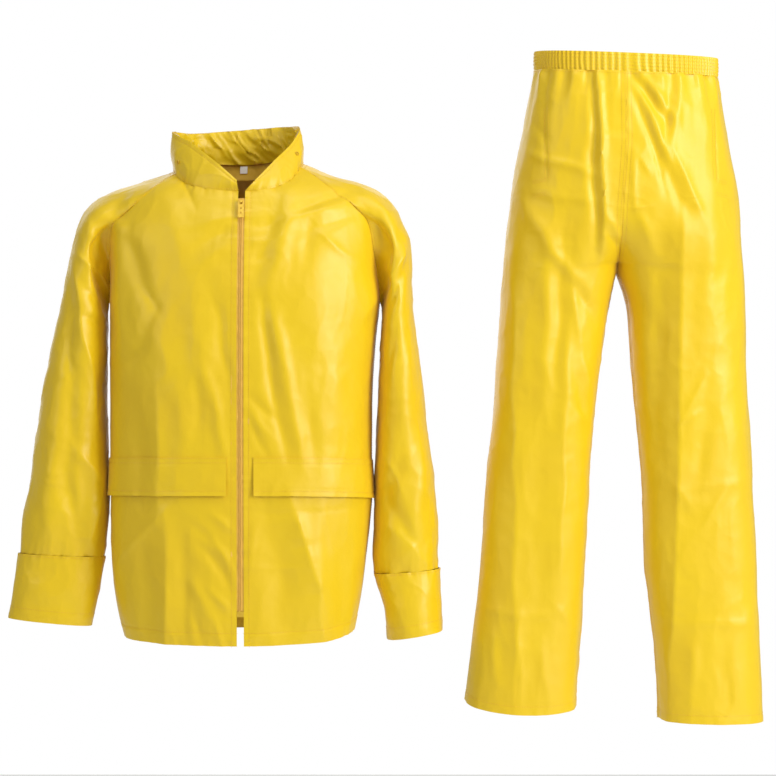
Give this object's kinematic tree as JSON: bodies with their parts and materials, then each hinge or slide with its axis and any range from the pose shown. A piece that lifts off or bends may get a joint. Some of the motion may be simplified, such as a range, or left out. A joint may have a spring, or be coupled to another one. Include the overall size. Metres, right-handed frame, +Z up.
{
  "type": "rain suit with jacket and trousers",
  "caption": "Hollow two-piece rain suit: zipped raglan jacket with stand collar and pocket flaps, and trousers with a shirred elastic waist.",
  "frame": {"origin": "base of the jacket's neck, on its middle line, level with the neck seam at the front, where the wearer's shoulders hold it", "axes": "+X towards the wearer's left, where the trousers stand, +Y to the back, +Z up"},
  "size_m": [1.227, 0.2792, 1.0929],
  "materials": {
    "shell": "coated nylon, satin sheen",
    "inside": "coated nylon, packed hood",
    "zip": "woven zip tape with a nylon coil",
    "label": "blank woven label",
    "metal": "lacquered zinc"
  },
  "bodies": {
    "suit": {"jacket_front_right": "shell", "jacket_front_left": "shell", "jacket_back": "shell", "sleeve_right": "shell", "sleeve_left": "shell", "cuff_right": "shell", "cuff_left": "shell", "collar": "shell", "hood_roll": "inside", "neck_label": "label", "pocket_flap_right": "shell", "pocket_flap_left": "shell", "zip_tape_right": "zip", "zip_tape_left": "zip", "zip_slider": "metal", "zip_box": "metal", "collar_eyelet_right": "metal", "collar_eyelet_left": "metal", "waistband": "shell", "trouser_front_right": "shell", "trouser_front_left": "shell", "trouser_back_right": "shell", "trouser_back_left": "shell"},
    "tab": {"pull_tab": "metal"}
  },
  "joints": [
    {"name": "pull_tab_swing", "type": "hinge", "parent": "suit", "child": "tab", "pos_m": [0.007, -0.10626, -0.04], "axis": [-1, 0, 0], "range_deg": [0, 150]}
  ]
}
